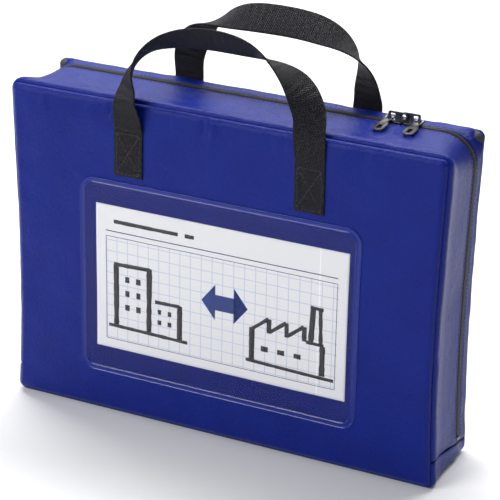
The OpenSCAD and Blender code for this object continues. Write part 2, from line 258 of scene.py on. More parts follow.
def edge_frame(x, z):
    """(distance to the panel's outline, outward direction there)."""
    half, top = PANEL_HALF, PANEL_TOP
    upper = z > top / 2
    r = TOP_CORNER_R if upper else BASE_CORNER_R
    rise = z if upper else top - z
    sign = 1 if upper else -1
    side = math.copysign(1, x)
    if abs(x) > half - r and rise > top - r:
        out = Vector((abs(x) - half + r, rise - top + r))
        direction = out.normalized() if out.length > 1e-6 else Vector((0, 1))
        return r - out.length, (side * direction.x, sign * direction.y)
    if half - abs(x) < top - rise:
        return half - abs(x), (side, 0)
    return top - rise, (0, sign)


def spaced(low, high):
    """Places from low to high, close together over the rolled edges at both ends."""
    edge = REACH + ALLOWANCE
    near = round(edge / EDGE_STEP)
    middle = round((high - low - 2 * edge) / PANEL_STEP)
    return np.concatenate([
        np.linspace(low, low + edge, near, endpoint=False),
        np.linspace(low + edge, high - edge, middle, endpoint=False),
        np.linspace(high - edge, high, near + 1)])


def add_mesh(name, points, faces, uvs=None, material=None):
    """A mesh object from points in mm, with its own UV map in metres of cloth."""
    mesh = bpy.data.meshes.new(name)
    mesh.from_pydata([Vector(p) * MM for p in points], [], faces)
    if uvs is not None:
        layer = mesh.uv_layers.new(name="cloth")
        for loop in mesh.loops:
            layer.data[loop.index].uv = uvs[loop.vertex_index]
    mesh.update()
    obj = bpy.data.objects.new(name, mesh)
    bpy.context.scene.collection.objects.link(obj)
    for polygon in mesh.polygons:
        polygon.use_smooth = True
    if material is not None:
        mesh.materials.append(material)
    return obj


def grid_mesh(name, rows, outward, material):
    """A sheet from rows of points in mm; outward is the way its middle face looks."""
    count = len(rows[0])
    points = [p for row in rows for p in row]
    faces = [(i * count + k, i * count + k + 1, (i + 1) * count + k + 1, (i + 1) * count + k)
             for i in range(len(rows) - 1) for k in range(count - 1)]
    place = np.array(rows, float)
    along = np.zeros(place.shape[:2])
    along[:, 1:] = np.cumsum(np.linalg.norm(place[:, 1:] - place[:, :-1], axis=2), axis=1)
    middle = along[:, count // 2]
    along += (middle.mean() - middle)[:, None]
    down = np.zeros(place.shape[:2])
    down[1:] = np.cumsum(np.linalg.norm(place[1:] - place[:-1], axis=2), axis=0).mean(axis=1)[:, None]
    uvs = np.stack([along, down], axis=2).reshape(-1, 2) * MM
    obj = add_mesh(name, points, faces, uvs.tolist(), material)
    centre = obj.data.polygons[len(rows) // 2 * (count - 1) + count // 2]
    if centre.normal.dot(Vector(outward)) < 0:
        obj.data.flip_normals()
    return obj


def select_only(obj):
    bpy.ops.object.select_all(action="DESELECT")
    obj.select_set(True)
    bpy.context.view_layer.objects.active = obj


def apply_modifiers(obj):
    select_only(obj)
    for modifier in list(obj.modifiers):
        bpy.ops.object.modifier_apply(modifier=modifier.name)
    obj.select_set(False)


def thicken(obj, thickness):
    """Gives a sheet its wall, inward from its outer face."""
    solid = obj.modifiers.new("wall", "SOLIDIFY")
    solid.thickness = thickness * MM
    solid.offset = -1
    apply_modifiers(obj)
    return obj


def link(tree, source, target):
    tree.links.new(source, target)


def calc(tree, operation, *values):
    """A Math node; each value is a number or an output socket."""
    node = tree.nodes.new("ShaderNodeMath")
    node.operation = operation
    for index, value in enumerate(values):
        if isinstance(value, (int, float)):
            node.inputs[index].default_value = value
        else:
            link(tree, value, node.inputs[index])
    return node.outputs[0]


def blend_colour(tree, factor, first, second):
    """Mixes two colours, each a tuple or a socket, by a factor's socket."""
    node = tree.nodes.new("ShaderNodeMix")
    node.data_type = "RGBA"
    link(tree, factor, node.inputs[0])
    for value, index in ((first, 6), (second, 7)):
        if isinstance(value, tuple):
            node.inputs[index].default_value = (*value, 1)
        else:
            link(tree, value, node.inputs[index])
    return node.outputs[2]


def noise_value(tree, vector, scale, detail=3.0, roughness=0.5):
    node = tree.nodes.new("ShaderNodeTexNoise")
    node.inputs["Scale"].default_value = scale
    node.inputs["Detail"].default_value = detail
    node.inputs["Roughness"].default_value = roughness
    link(tree, vector, node.inputs["Vector"])
    return node.outputs["Fac"]


def bump(tree, shader, height, distance, strength=1.0, below=None):
    node = tree.nodes.new("ShaderNodeBump")
    node.inputs["Strength"].default_value = strength
    node.inputs["Distance"].default_value = distance
    link(tree, height, node.inputs["Height"])
    if below is not None:
        link(tree, below, node.inputs["Normal"])
    link(tree, node.outputs["Normal"], shader.inputs["Normal"])
    return node.outputs["Normal"]


def cloth_place(tree):
    """The piece's own cloth map: (vector, along, across) in metres."""
    place = tree.nodes.new("ShaderNodeUVMap")
    place.uv_map = "cloth"
    split = tree.nodes.new("ShaderNodeSeparateXYZ")
    link(tree, place.outputs["UV"], split.inputs[0])
    return place.outputs["UV"], split.outputs[0], split.outputs[1]


def object_place(tree):
    """A point of the piece in the bag's own frame, in metres."""
    return tree.nodes.new("ShaderNodeTexCoord").outputs["Object"]


def tint(tree, shader, factor, darker, paler):
    """Colours the shader between two colours by a factor's socket."""
    link(tree, blend_colour(tree, factor, darker, paler), shader.inputs["Base Color"])


def vary_roughness(tree, shader, value, span, least):
    link(tree, calc(tree, "MULTIPLY_ADD", value, span, least), shader.inputs["Roughness"])


def waves(tree, value, pitch, drift=0.0):
    """A sine along value that repeats every pitch metres."""
    turns = calc(tree, "MULTIPLY", value, 2 * math.pi / pitch)
    return calc(tree, "SINE", calc(tree, "ADD", turns, drift))


def tarpaulin_material():
    """PVC-coated cloth: a plain weave shows faintly through the glossy coating."""
    made, shader, tree = plain_material("blue_tarpaulin", (0.003, 0.012, 0.18), 0.3)
    shader.inputs["Specular IOR Level"].default_value = 0.14
    vector, along, across = cloth_place(tree)
    drift = calc(tree, "MULTIPLY", noise_value(tree, vector, 170, 2), 4.0)
    weave = calc(tree, "MULTIPLY", waves(tree, along, 0.0012, drift), waves(tree, across, 0.0012, drift))
    cloudy = noise_value(tree, vector, 30, 4, 0.55)
    mottled = noise_value(tree, vector, 380, 3, 0.65)
    tint(tree, shader, cloudy, (0.0020, 0.0085, 0.140), (0.0035, 0.016, 0.205))
    vary_roughness(tree, shader, mottled, 0.2, 0.2)
    broad = bump(tree, shader, cloudy, 0.0022, 0.6)
    fine = bump(tree, shader, mottled, 0.0007, 0.7, broad)
    bump(tree, shader, weave, 0.00008, 0.6, fine)
    return made


tarpaulin = tarpaulin_material()


def panel_sheet(name, face, outward, puckers, seed):
    """A panel whose outer side looks along outward * Y, swelling out of the flat plane at y = face."""
    half, top = PANEL_HALF, PANEL_TOP
    rows = []
    for z0 in spaced(-ALLOWANCE, top + ALLOWANCE):
        row = []
        for x0 in spaced(-half - ALLOWANCE, half + ALLOWANCE):
            x, z = round_corner(x0, z0)
            distance, (out_x, out_z) = edge_frame(x, z)
            behind, inset = seam_roll(distance)
            x, z = x + out_x * (distance - inset), z + out_z * (distance - inset)
            near_seam = math.exp(-((distance - 13) / 9) ** 2)
            gathers = wobble(x, seed + 9, z, 17, 0.8) * near_seam + pucker(x, top - z, puckers)
            y = face + outward * (panel_swell(x, z, seed) * smooth(distance / 24) + gathers - behind)
            row.append((drawn_in(x, z), y, z))
        rows.append(row)
    return thicken(grid_mesh(name, rows, (0, outward, 0), tarpaulin), PANEL_T)


front_panel = panel_sheet("front_panel_sheet", FRONT_FACE, -1, FRONT_PUCKERS, FRONT_SEED)
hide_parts("front_panel")
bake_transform(front_panel)

back_panel = panel_sheet("back_panel_sheet", BACK_FACE, 1, BACK_PUCKERS, BACK_SEED)
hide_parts("back_panel")
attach(back_panel, "bag_body")

# ---------------------------------------------------------------------------------------------
# Gussets in front of and behind the zip: strips of the same cloth, sewn to a panel and running
# up one side, over the top and down the other. Their zip edges are folded under and stitched.
# ---------------------------------------------------------------------------------------------

HEM_R = 0.9
HEM_TURN_UNDER = 5
ZIP_EDGE_IN = 0.6
DIP_IN = 1.7
FRONT_HEM_Y = ZIP_Y - 3.7
BACK_HEM_Y = ZIP_Y + 4.4
WRAP_FRONT_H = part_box("bottom_gusset")[1].z / MM
WRAP_BACK_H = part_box("back_gusset")[0].z / MM
FOOT_R = 2.0
GUSSET_T = 0.7
ALLOWANCE_STEPS = 4
ROLL_STEPS = 14


def wrap_edge(y):
    """Height of the base gusset's turned-up ends."""
    return WRAP_FRONT_H + (WRAP_BACK_H - WRAP_FRONT_H) * (y - FRONT_Y) / (BACK_Y - FRONT_Y)


def toward_zip(y):
    """0 at either panel's face to 1 at the zip's centre line."""
    face = FRONT_FACE if y < ZIP_Y else BACK_FACE
    return (y - face) / (ZIP_Y - face)


def face_inset(y):
    """How far the gussets' outer face lies inside the panels' outline: they dip between seam and zip."""
    share = toward_zip(y)
    dip = (FACE_OUT + DIP_IN) * smooth(share / 0.45) - (DIP_IN - ZIP_EDGE_IN) * smooth((share - 0.6) / 0.4)
    return dip - FACE_OUT


def corner_radius(y):
    """The strips turn the top corners tightly at the panels and broadly at the zip."""
    return TOP_CORNER_R + (ZIP_CORNER_R - TOP_CORNER_R) * smooth(toward_zip(y)) ** 0.7


def over_the_top(inset, radius, foot, legs=46, corners=18, top_steps=110):
    """(x, z, outward x, outward z, distance from the feet) up the left side, over and down the right."""
    side = HALF_W - inset
    top = BAG_H - inset
    half = []
    for i in range(legs):
        z = foot + (top - radius - foot) * (i / legs) ** 1.25
        half.append((-side, z, -1, 0, z - foot))
    for i in range(corners):
        turn = math.radians(180 - 90 * i / corners)
        half.append((radius * (1 + math.cos(turn)) - side, top + radius * (math.sin(turn) - 1),
                     math.cos(turn), math.sin(turn), BAG_H))
    path = list(half)
    for i in range(top_steps + 1):
        path.append((radius - side + 2 * (side - radius) * i / top_steps, top, 0, 1, BAG_H))
    path += [(-x, z, -out_x, out_z, far) for x, z, out_x, out_z, far in reversed(half)]
    return path


def foot_roll(distance):
    """How deep a gusset's end turns in to its seam with the base gusset."""
    short = 1 - min(1.0, distance / FOOT_R)
    return FOOT_R * (1 - math.sqrt(1 - short * short))


def seam_section():
    """(depth, distance from the edge) at each step from the seam allowance over the rolled edge."""
    places = [ALLOWANCE * i / ALLOWANCE_STEPS for i in range(-ALLOWANCE_STEPS, 0)]
    places += [REACH * i / ROLL_STEPS for i in range(ROLL_STEPS)]
    return [seam_roll(place) for place in places]


def hemmed_profile(seam_y, hem_y):
    """(y, depth under the strip's face) from the seam allowance to the turned-under zip edge."""
    way = 1 if hem_y > seam_y else -1
    width = abs(hem_y - seam_y)
    profile = [(seam_y + way * inset, depth) for depth, inset in seam_section()]
    flats = max(4, round((width - REACH - HEM_R) / 2.4))
    for i in range(flats + 1):
        profile.append((seam_y + way * (REACH + (width - REACH - HEM_R) * i / flats), 0.0))
    for i in range(1, 7):
        turn = math.radians(90 - 30 * i)
        profile.append((hem_y - way * HEM_R * (1 - math.cos(turn)), HEM_R * (1 - math.sin(turn))))
    profile.append((hem_y - way * (HEM_R + HEM_TURN_UNDER), 2 * HEM_R))
    return profile


def gusset_sheet(name, seam_y, hem_y, dome, seed):
    """One gusset strip, domed between its seam and its hem."""
    rows = []
    width = abs(hem_y - seam_y)
    for y, depth in hemmed_profile(seam_y, hem_y):
        across = abs(y - seam_y) / width
        crown = dome * math.sin(math.pi * min(1, across)) ** 0.8
        loose = smooth(across * 4) * smooth((1 - across) * 5)
        row = []
        for x, z, out_x, out_z, far in over_the_top(face_inset(y), corner_radius(y), wrap_edge(y) + 0.1):
            sink = foot_roll(far)
            near_seam = math.exp(-((across * width - 6) / 5) ** 2)
            lift = crown + wobble(x, y + seed, z, 40, 0.9) * loose + wobble(x, y + seed, z, 15, 0.25) * loose
            lift += wobble(x, seed, z, 14, 0.5) * near_seam - depth - sink
            x, z = x + out_x * lift, z + out_z * lift
            row.append((drawn_in(x, z), y, z))
        rows.append(row)
    return thicken(grid_mesh(name, rows, (0, 0, 1), tarpaulin), GUSSET_T)


front_gusset = gusset_sheet("front_gusset_strip", FRONT_FACE, FRONT_HEM_Y, dome=0.1, seed=5)
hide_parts("front_gusset")
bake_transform(front_gusset)

back_gusset = gusset_sheet("back_gusset_strip", BACK_FACE, BACK_HEM_Y, dome=0.4, seed=9)
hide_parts("back_gusset")
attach(back_gusset, "bag_body")

# ---------------------------------------------------------------------------------------------
# Base gusset: one strip under the bag, sewn to both panels, with its ends turned up over the
# feet of the side gussets. It lies flat on its core board.
# ---------------------------------------------------------------------------------------------


def under_the_base(inset, radius, top, legs=14, corners=12, base_steps=120):
    """(x, z, inward x, inward z, distance from the upper edge) down the left, across and up the right."""
    side = HALF_W - inset
    half = []
    for i in range(legs):
        z = top - (top - radius) * (i / legs) ** 1.4
        half.append((-side, z, 1, 0, top - z))
    for i in range(corners):
        turn = math.radians(180 + 90 * i / corners)
        half.append((radius * (1 + math.cos(turn)) - side, radius * (1 + math.sin(turn)),
                     -math.cos(turn), -math.sin(turn), BAG_H))
    path = list(half)
    for i in range(base_steps + 1):
        path.append((radius - side + 2 * (side - radius) * i / base_steps, 0, 0, 1, BAG_H))
    path += [(-x, z, -in_x, in_z, far) for x, z, in_x, in_z, far in reversed(half)]
    return path


def base_sheet():
    low, high = FRONT_FACE, BACK_FACE
    across = seam_section()
    profile = [(low + inset, depth) for depth, inset in across]
    flats = round((high - low - 2 * REACH) / 2.6)
    profile += [(low + REACH + (high - low - 2 * REACH) * i / flats, 0.0) for i in range(flats + 1)]
    profile += [(high - inset, depth) for depth, inset in reversed(across)]
    rows = []
    for y, depth in profile:
        row = []
        for x, z, in_x, in_z, far in under_the_base(face_inset(y), BASE_CORNER_R, wrap_edge(y)):
            sink = foot_roll(far)
            slack = wobble(x, y, z, 30, 0.8) * smooth(z / 12)
            push = depth + sink + slack
            x, z = x + in_x * push, z + in_z * push
            row.append((drawn_in(x, z), y, z))
        rows.append(row)
    return thicken(grid_mesh("base_gusset_strip", rows, (0, 0, -1), tarpaulin), GUSSET_T)


base_gusset = base_sheet()
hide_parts("bottom_gusset")
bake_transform(base_gusset)

# ---------------------------------------------------------------------------------------------
# Core boards, linings and base layers: what stiffens and lines the bag.
# The two upright boards are closed-cell foam with holes for the handle patches; black lining
# cloth hangs in front of them. The base board and its lining lie loose on the base gusset.
# ---------------------------------------------------------------------------------------------

BOARD_DRAW = 5.0
LINING_MARGIN = 12
LINING_T = 0.4


def foam_material():
    made, shader, tree = plain_material("grey_foam", (0.22, 0.225, 0.24), 0.85)
    place = object_place(tree)
    cells = noise_value(tree, place, 900, 2, 0.6)
    tint(tree, shader, cells, (0.17, 0.175, 0.19), (0.27, 0.275, 0.29))
    bump(tree, shader, cells, 0.0005, 0.7)
    return made


def lining_material():
    """Thin black lining cloth in a plain weave."""
    made, shader, tree = plain_material("lining_cloth", (0.012, 0.013, 0.02), 0.7)
    shader.inputs["Sheen Weight"].default_value = 0.15
    vector, along, across = cloth_place(tree)
    weave = calc(tree, "MULTIPLY", waves(tree, along, 0.0009), waves(tree, across, 0.0009))
    rubbed = noise_value(tree, vector, 60, 4)
    tint(tree, shader, rubbed, (0.009, 0.010, 0.016), (0.022, 0.023, 0.032))
    bump(tree, shader, weave, 0.0001, 0.7)
    return made


def binding_material():
    """Ribbed black binding tape, and the plain cloth of the reinforcing patches."""
    made, shader, tree = plain_material("black_binding", (0.015, 0.015, 0.018), 0.65)
    place = object_place(tree)
    split = tree.nodes.new("ShaderNodeSeparateXYZ")
    link(tree, place, split.inputs[0])
    sum_xz = calc(tree, "ADD", split.outputs[0], split.outputs[2])
    ribs = calc(tree, "MULTIPLY", waves(tree, sum_xz, 0.0016), waves(tree, split.outputs[1], 0.0012))
    dusty = noise_value(tree, place, 240, 3)
    tint(tree, shader, dusty, (0.010, 0.010, 0.013), (0.03, 0.03, 0.034))
    bump(tree, shader, ribs, 0.00012, 0.6)
    return made


foam = foam_material()
lining_cloth = lining_material()
binding_cloth = binding_material()


def own_copy(node, name):
    """A separate, merged copy of a CAD node's mesh."""
    copied = bpy.data.objects.new(name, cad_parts[node].data.copy())
    copied.data.name = name
    bpy.context.scene.collection.objects.link(copied)
    copied.data.materials.clear()
    shape = bmesh.new()
    shape.from_mesh(copied.data)
    bmesh.ops.remove_doubles(shape, verts=shape.verts, dist=1e-5)
    shape.to_mesh(copied.data)
    shape.free()
    return copied


def round_edges(obj, width, segments, least_angle=30):
    """A bevel on every edge sharper than that angle, in degrees; it still has to be applied."""
    bevel = obj.modifiers.new("rounded_edges", "BEVEL")
    bevel.width = width * MM
    bevel.segments = segments
    bevel.limit_method = "ANGLE"
    bevel.angle_limit = math.radians(least_angle)


def finish_board(board, node, body):
    round_edges(board, 0.3, 2)
    apply_modifiers(board)
    board.data.materials.append(foam)
    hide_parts(node)
    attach(board, body)


def upright_board(node, name, body):
    """A core board trimmed at its two sides and top, to lie inside the drawn-in sheets."""
    board = own_copy(node, name)
    edge = (HALF_W - 2 * TOP_CORNER_R) * MM
    for vertex in board.data.vertices:
        if abs(vertex.co.x) > edge:
            vertex.co.x -= math.copysign(BOARD_DRAW * MM, vertex.co.x)
        if vertex.co.z > (BAG_H - 2 * TOP_CORNER_R) * MM:
            vertex.co.z -= BOARD_DRAW * MM
        if vertex.co.z < TOP_CORNER_R * MM:
            vertex.co.z += BOARD_DRAW * MM
    finish_board(board, node, body)


def lining_sheet(node, name, y, inward, body, seed):
    """Lining cloth hung inside a panel, a little slack."""
    half, low, top = HALF_W - LINING_MARGIN, LINING_MARGIN, BAG_H - LINING_MARGIN
    rows = []
    for z in np.linspace(low, top, 60):
        row = []
        for x in np.linspace(-half, half, 84):
            edge = min(half - abs(x), z - low, top - z)
            slack = 0.8 * smooth(edge / 15) + wobble(x, seed, z, 50, 1.2) * smooth(edge / 20)
            row.append((x, y + inward * max(0.0, slack + 0.5), z))
        rows.append(row)
    sheet = thicken(grid_mesh(name, rows, (0, inward, 0), lining_cloth), LINING_T)
    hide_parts(node)
    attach(sheet, body)


upright_board("front_core_board", "front_foam_board", "front_flap")
upright_board("back_core_board", "back_foam_board", "bag_body")
lining_sheet("front_lining", "front_lining_cloth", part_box("front_lining")[1].y / MM, 1, "front_flap", 31)
lining_sheet("back_lining", "back_lining_cloth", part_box("back_lining")[0].y / MM, -1, "bag_body", 37)


def base_lining_sheet():
    low, high = (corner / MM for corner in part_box("base_lining"))
    half = high.x - BOARD_DRAW
    rows = []
    for y in np.linspace(low.y + 1, high.y - 1, 16):
        row = [(x, y, low.z + 0.4 + abs(wobble(x, y, 8, 45, 0.7))) for x in np.linspace(-half, half, 90)]
        rows.append(row)
    sheet = thicken(grid_mesh("base_lining_cloth", rows, (0, 0, 1), lining_cloth), LINING_T)
    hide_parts("base_lining")
    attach(sheet, "bag_body")


base_lining_sheet()
base_board = own_copy("base_core_board", "base_foam_board")
for vertex in base_board.data.vertices:
    vertex.co.x -= math.copysign(BOARD_DRAW * MM, vertex.co.x)
finish_board(base_board, "base_core_board", "bag_body")

for patches in ("front_handle_patches", "back_handle_patches"):
    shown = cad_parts[patches]
    shown.data.materials.clear()
    shown.data.materials.append(binding_cloth)

# ---------------------------------------------------------------------------------------------
# Seam bindings: black tape folded over the seam allowances inside the bag, one along each
# panel's three upper sides and one along each long edge of the base.
# ---------------------------------------------------------------------------------------------

BINDING_HALF_T = 1.5
BINDING_END = 1.5


def face_outwards(obj):
    """Turns every face of a closed piece outwards."""
    shape = bmesh.new()
    shape.from_mesh(obj.data)
    bmesh.ops.recalc_face_normals(shape, faces=shape.faces)
    shape.to_mesh(obj.data)
    shape.free()


def sweep_closed(name, rings, material):
    """A closed tube through rings of the same number of points, with capped ends."""
    count = len(rings[0])
    points = [p for ring in rings for p in ring]
    faces = [(i * count + k, i * count + (k + 1) % count,
              (i + 1) * count + (k + 1) % count, (i + 1) * count + k)
             for i in range(len(rings) - 1) for k in range(count)]
    faces.append(tuple(range(count))[::-1])
    faces.append(tuple(range((len(rings) - 1) * count, len(rings) * count)))
    obj = add_mesh(name, points, faces, None, material)
    face_outwards(obj)
    return obj


def binding_section():
    """(along the allowance, across it) round a folded tape with a rounded fold."""
    end = ALLOWANCE + BINDING_END
    section = [(1.5, -BINDING_HALF_T), (end, -BINDING_HALF_T)]
    for turn in (-math.pi / 4, 0, math.pi / 4):
        section.append((end + BINDING_HALF_T * math.cos(turn), BINDING_HALF_T * math.sin(turn)))
    return section + [(end, BINDING_HALF_T), (1.5, BINDING_HALF_T)]


def binding(name, path, seam_y, way, sign):
    """Binding along path; sign is 1 where the path's direction points out of the bag, -1 where in."""
    rings = []
    for x, z, dir_x, dir_z, _ in path:
        ring = []
        for u, v in binding_section():
            depth = CREASE_IN + ALLOWANCE_SLOPE * u + ALLOWANCE_SLOPE * v
            px, pz = x - sign * dir_x * depth, z - sign * dir_z * depth
            y = seam_y + way * (CREASE_IN + ALLOWANCE_SLOPE * u - ALLOWANCE_SLOPE * v)
            ring.append((drawn_in(px, pz), y, pz))
        rings.append(ring)
    return sweep_closed(name, rings, binding_cloth)


for side, body in (("front", "front_flap"), ("back", "bag_body")):
    seam_y = FRONT_FACE if side == "front" else BACK_FACE
    top_path = over_the_top(face_inset(seam_y), corner_radius(seam_y), WRAP_FRONT_H + 3,
                            legs=24, top_steps=40)
    way = 1 if side == "front" else -1
    top_binding = binding(side + "_binding_tape", top_path, seam_y, way, 1)
    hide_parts(side + "_seam_binding")
    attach(top_binding, body)
    base_path = under_the_base(face_inset(seam_y), BASE_CORNER_R, WRAP_FRONT_H, legs=4, base_steps=30)
    base_binding = binding("base_" + side + "_binding_tape", base_path, seam_y, way, -1)
    if side == "front":
        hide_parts("base_seam_bindings")
        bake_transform(base_binding)
    else:
        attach(base_binding, "bag_body")

# ---------------------------------------------------------------------------------------------
# Zip: two woven tapes sewn under the gussets' hems, each with a row of nylon coil, and small
# metal stops at the lower ends. The rows mesh all the way round, up to the two sliders.
# ---------------------------------------------------------------------------------------------

TAPE_IN = 2.5
TAPE_T = 0.5
TOOTH_PITCH = 1.5
TOOTH_ALONG = 0.72
TOOTH_H = 2.1
TOOTH_REACH = 0.75
ROW_FAR = 3.3
SMOOTH_BELOW = math.radians(40)
TAPE_TAIL = 6
zip_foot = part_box("zip_coil_back")[0].z / MM
gusset_circle = ZIP_CORNER_R + ZIP_EDGE_IN


def tape_material():
    """Black zip tape in a fine twill."""
    made, shader, tree = plain_material("zip_tape", (0.01, 0.01, 0.012), 0.6)
    vector, along, across = cloth_place(tree)
    slant = calc(tree, "ADD", along, calc(tree, "MULTIPLY", across, 0.8))
    pale_flecks = noise_value(tree, vector, 300, 3)
    tint(tree, shader, pale_flecks, (0.007, 0.007, 0.009), (0.02, 0.02, 0.024))
    bump(tree, shader, waves(tree, slant, 0.0008), 0.0001, 0.8)
    return made


def coil_material():
    """Black nylon coil with painted sheen: brownish grey flecks, spread by noise, stand in for light catching
    it.
    """
    made, shader, tree = plain_material("nylon_coil", (0.03, 0.028, 0.027), 0.42)
    place = object_place(tree)
    pale_flecks = noise_value(tree, place, 700, 2)
    # painted sheen: the paler brownish grey stands in for light catching the coil, placed by noise
    tint(tree, shader, pale_flecks, (0.02, 0.019, 0.019), (0.055, 0.05, 0.047))
    bump(tree, shader, pale_flecks, 0.0001, 0.5)
    return made


zip_cloth = tape_material()
nylon = coil_material()


def zip_path(inset, foot, **steps):
    """The route over the top at that inset, concentric with the gussets' zip edges."""
    return over_the_top(inset, gusset_circle - inset, foot, **steps)


def tape_sheet(name, y_edge, y_coil, foot):
    rows = []
    for y in np.linspace(y_edge, y_coil, 6):
        rows.append([(drawn_in(x, z), y, z) for x, z, _, _, _ in zip_path(TAPE_IN, foot)])
    sheet = thicken(grid_mesh(name, rows, (0, 0, 1), zip_cloth), TAPE_T)
    return sheet


def even_places(path, pitch, start):
    """Frames every pitch along a path: (x, z, tangent x, tangent z, outward x, outward z)."""
    flat = np.array([(drawn_in(x, z), z) for x, z, _, _, _ in path])
    out = np.array([(out_x, out_z) for _, _, out_x, out_z, _ in path])
    run = np.concatenate([[0], np.cumsum(np.linalg.norm(np.diff(flat, axis=0), axis=1))])
    places = np.arange(start, run[-1], pitch)
    spots = [np.interp(places, run, column) for column in (flat[:, 0], flat[:, 1], out[:, 0], out[:, 1])]
    frames = []
    for x, z, out_x, out_z in zip(*spots):
        size = math.hypot(out_x, out_z)
        out_x, out_z = out_x / size, out_z / size
        frames.append((x, z, out_z, -out_x, out_x, out_z))
    return frames


def coil_row(name, y_outer, y_head, start):
    """One row of coil: a rounded bar for each turn, square to the zip."""
    half, bevel = TOOTH_ALONG / 2, 0.22
    section = ((-half, 0), (half, 0), (half, TOOTH_H - 2 * bevel), (half - bevel, TOOTH_H),
               (bevel - half, TOOTH_H), (-half, TOOTH_H - 2 * bevel))
    count = len(section)
    points, faces = [], []
    path = zip_path(TAPE_IN, zip_foot + 0.3)
    for x, z, run_x, run_z, out_x, out_z in even_places(path, TOOTH_PITCH, start):
        base = len(points)
        for y, tip in ((y_outer, 0.75), (y_outer + (y_head - y_outer) * 0.12, 1.0),
                       (y_outer + (y_head - y_outer) * 0.9, 1.0), (y_head, 0.8)):
            for a, b in section:
                lift = b * tip
                points.append((x + run_x * a * tip + out_x * lift, y, z + run_z * a * tip + out_z * lift))
        faces.append(tuple(base + k for k in range(count)))
        faces.append(tuple(base + 3 * count + k for k in reversed(range(count))))
        for ring in range(3):
            for k in range(count):
                a, b = base + ring * count + k, base + ring * count + (k + 1) % count
                faces.append((a, a + count, b + count, b))
    row = add_mesh(name, points, faces, None, nylon)
    face_outwards(row)
    select_only(row)
    bpy.ops.object.shade_smooth_by_angle(angle=SMOOTH_BELOW)
    return row


front_tape = tape_sheet("front_zip_tape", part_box("zip_tape_front")[0].y / MM, ZIP_Y - 0.4, zip_foot + 0.3)
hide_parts("zip_tape_front")
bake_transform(front_tape)
back_tape = tape_sheet("back_zip_tape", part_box("zip_tape_back")[1].y / MM, ZIP_Y + 0.4, zip_foot - TAPE_TAIL)
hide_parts("zip_tape_back")
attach(back_tape, "bag_body")
front_coil = coil_row("front_coil", ZIP_Y - ROW_FAR, ZIP_Y + TOOTH_REACH, 0.5)
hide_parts("zip_coil_front")
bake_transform(front_coil)
back_coil = coil_row("back_coil", ZIP_Y + ROW_FAR, ZIP_Y - TOOTH_REACH, 0.5 + TOOTH_PITCH / 2)
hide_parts("zip_coil_back")
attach(back_coil, "bag_body")


def end_stops():
    """A crimped metal bar across both rows at each lower end of the zip."""
    low, high = (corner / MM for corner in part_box("zip_end_stops"))
    stops = []
    for side in (-1, 1):
        x = drawn_in(side * (HALF_W - TAPE_IN + TOOTH_H / 2), high.z)
        bpy.ops.object.select_all(action="DESELECT")
        bpy.ops.mesh.primitive_cube_add(size=1, location=(x * MM, ZIP_Y * MM, (low.z + high.z) / 2 * MM))
        stop = bpy.context.object
        stop.scale = (TOOTH_H * 1.15 * MM, (high.y - low.y) * MM, (high.z - low.z - 0.6) * MM)
        bpy.ops.object.transform_apply(location=True, scale=True)
        bpy.ops.object.mode_set(mode="EDIT")
        bpy.ops.mesh.select_all(action="SELECT")
        bpy.ops.mesh.bevel(offset=0.55 * MM, segments=3, affect="EDGES")
        bpy.ops.object.mode_set(mode="OBJECT")
        stops.append(stop)
    bpy.ops.object.select_all(action="DESELECT")
    for stop in stops:
        stop.select_set(True)
    bpy.context.view_layer.objects.active = stops[0]
    bpy.ops.object.join()
    stops[0].name = "zip_bottom_stops"
    return stops[0]


def black_metal_material():
    """Cast metal with black lacquer, rubbed thinner along its edges."""
    made, shader, tree = plain_material("black_lacquered_metal", (0.012, 0.012, 0.014), 0.28)
    shader.inputs["Specular IOR Level"].default_value = 0.75
    place = object_place(tree)
    grain = noise_value(tree, place, 500, 3, 0.6)
    geometry = tree.nodes.new("ShaderNodeNewGeometry")
    edge = calc(tree, "MULTIPLY_ADD", geometry.outputs["Pointiness"], 9, -4.75)
    rubbed = calc(tree, "MULTIPLY", calc(tree, "MINIMUM", calc(tree, "MAXIMUM", edge, 0.0), 1.0), grain)
    tint(tree, shader, rubbed, (0.009, 0.009, 0.011), (0.07, 0.07, 0.075))
    vary_roughness(tree, shader, grain, 0.2, 0.2)
    bump(tree, shader, grain, 0.00008, 0.5)
    return made


lacquer = black_metal_material()
bottom_stops = end_stops()
bottom_stops.data.materials.clear()
bottom_stops.data.materials.append(lacquer)
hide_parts("zip_end_stops")
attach(bottom_stops, "bag_body")

# ---------------------------------------------------------------------------------------------
# Stitching beside the zip: one row of navy thread along each hem, through gusset and tape.
# Each stitch is a short bead of thread pressed a little into the coated cloth.
# ---------------------------------------------------------------------------------------------

STITCH_LEN = 2.4
STITCH_GAP = 1.1
THREAD_R = 0.32
HEM_STITCH_IN = 2.6


def thread_material(name, colour):
    made, shader, tree = plain_material(name, colour, 0.5)
    place = object_place(tree)
    twist = noise_value(tree, place, 2500, 1)
    paler = tuple(min(1.0, 2.2 * c + 0.004) for c in colour)
    tint(tree, shader, twist, colour, paler)
    bump(tree, shader, twist, 0.0001, 0.6)
    return made


def stitch_mesh(name, stitches, material):
    """Beads of thread; each stitch is (middle, half its length as a vector, outward direction), in mm."""
    points, faces = [], []
    for middle, half, out in stitches:
        side = half.cross(out).normalized() * THREAD_R
        out = out.normalized() * THREAD_R * 0.8
        base = len(points)
        points.append(middle - half - out * 0.6)
        for share in (-0.75, 0, 0.75):
            centre = middle + half * share
            points += [centre + side, centre + out, centre - side, centre - out]
        points.append(middle + half - out * 0.6)
        for k in range(4):
            after = (k + 1) % 4
            faces.append((base, base + 1 + after, base + 1 + k))
            for ring in (0, 1):
                a, b = base + 1 + 4 * ring + k, base + 1 + 4 * ring + after
                faces.append((a, b, b + 4, a + 4))
            faces.append((base + 13, base + 9 + k, base + 9 + after))
    obj = add_mesh(name, points, faces, None, material)
    face_outwards(obj)
    return obj



